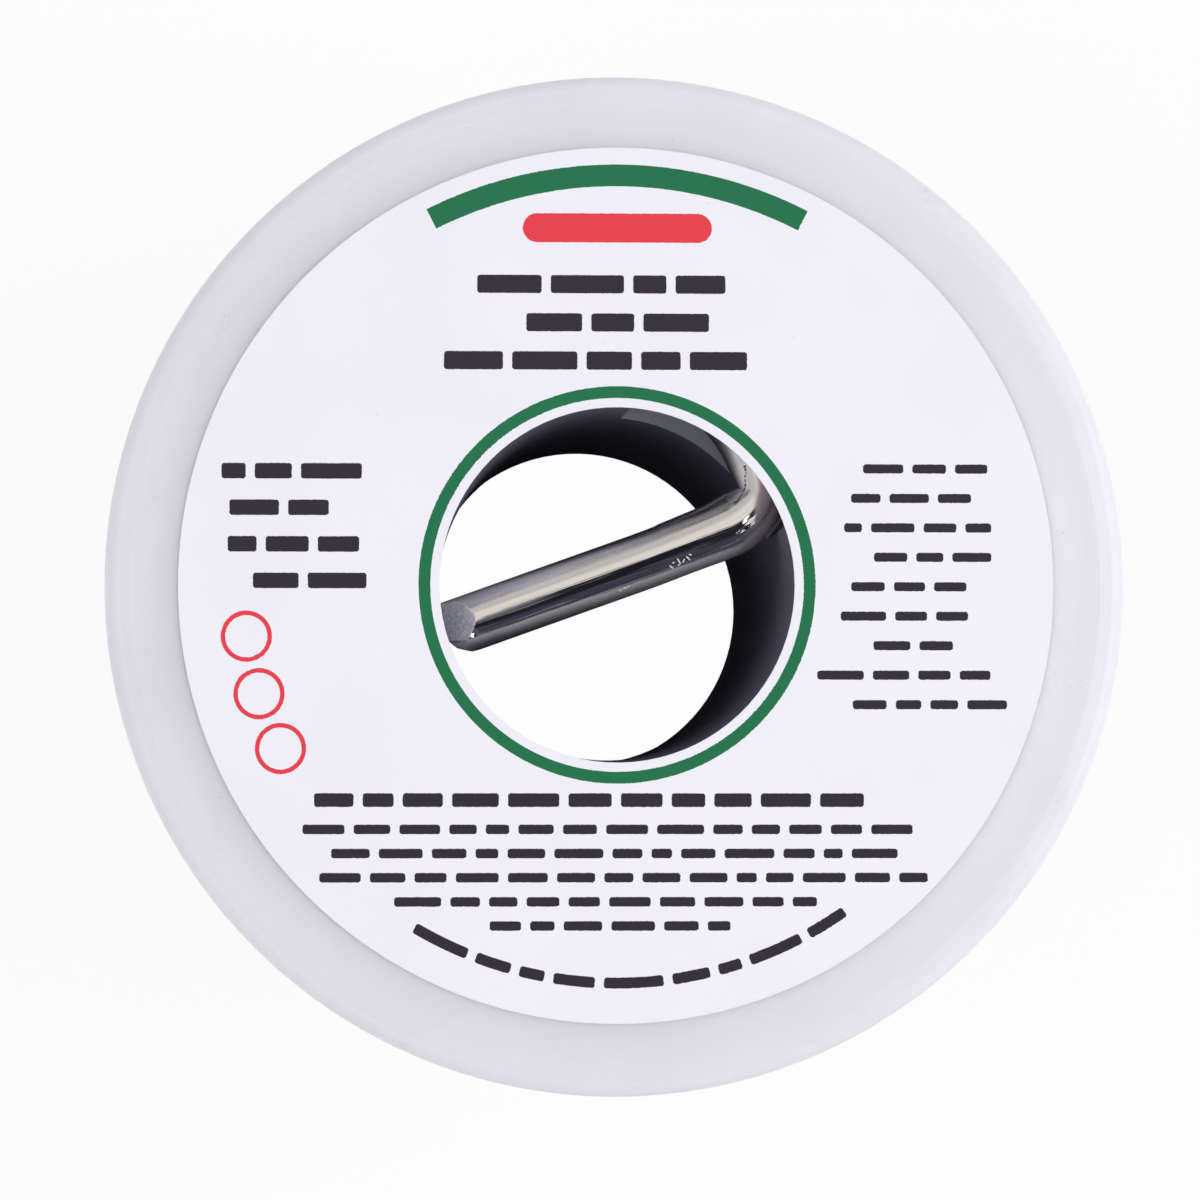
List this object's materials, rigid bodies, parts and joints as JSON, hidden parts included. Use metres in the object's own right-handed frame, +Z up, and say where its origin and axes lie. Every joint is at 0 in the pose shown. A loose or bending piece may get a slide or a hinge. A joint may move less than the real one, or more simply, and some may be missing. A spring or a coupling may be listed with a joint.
{
  "type": "solder wire spool",
  "caption": "Flanged plastic spool wound full of thick solder wire, with a black hub tube, paper labels and the wire's inner end bent across the bore.",
  "frame": {"origin": "on the axis of the bore, at the bottom of the rear label that the spool stands on", "axes": "+Z up along the axis of the bore, from the rear flange to the front flange; the notch for the wire's inner end is in the front end of the hub, between +X and +Y"},
  "size_m": [0.0562, 0.0562, 0.0444],
  "materials": {
    "black_plastic": "gloss",
    "milky_plastic": "satin",
    "label_paper": "matte",
    "solder": "gloss"
  },
  "bodies": {
    "root": {"hub_tube": "black_plastic", "front_flange": "milky_plastic", "rear_flange": "milky_plastic", "front_label": "label_paper", "rear_label": "label_paper", "solder_inner_layers": "solder", "solder_outer_layer": "solder", "solder_inner_end": "solder"}
  },
  "joints": []
}
